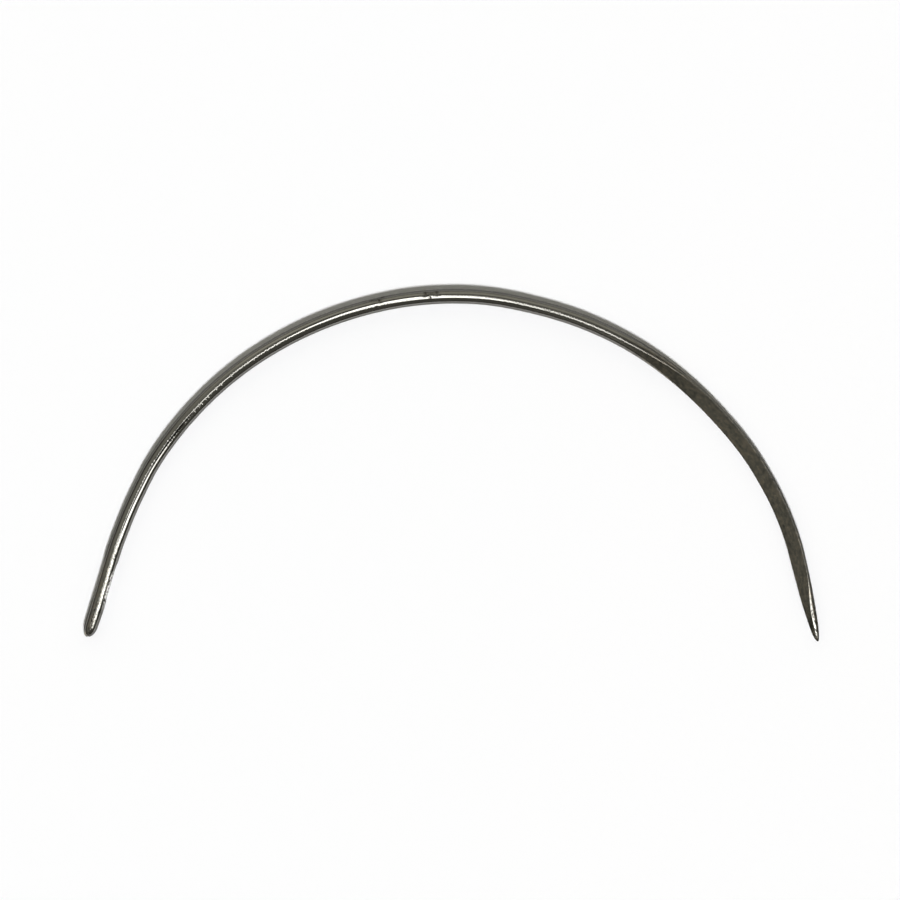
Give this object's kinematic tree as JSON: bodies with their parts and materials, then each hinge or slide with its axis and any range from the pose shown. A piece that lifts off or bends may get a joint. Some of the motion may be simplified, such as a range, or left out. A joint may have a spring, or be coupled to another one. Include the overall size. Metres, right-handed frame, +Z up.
{
  "type": "curved needle",
  "caption": "Half-circle hand sewing needle: a long eye in a straight end, a round bent shank, and a flat-sided blade that tapers to a sharp point.",
  "frame": {"origin": "on the surface that the needle lies on, under the middle of its bounding box", "axes": "+X along the chord from the butt to the point, +Y towards the crown of the bow, +Z up, square to the plane of the bend"},
  "size_m": [0.1024, 0.0488, 0.002],
  "materials": {
    "steel": "drawn steel wire, polished bright on the shank, duller and slightly pitted on the ground blade, the point and round the eye"
  },
  "bodies": {
    "root": {"eye_end": "steel", "shank": "steel", "blade": "steel"}
  },
  "joints": []
}
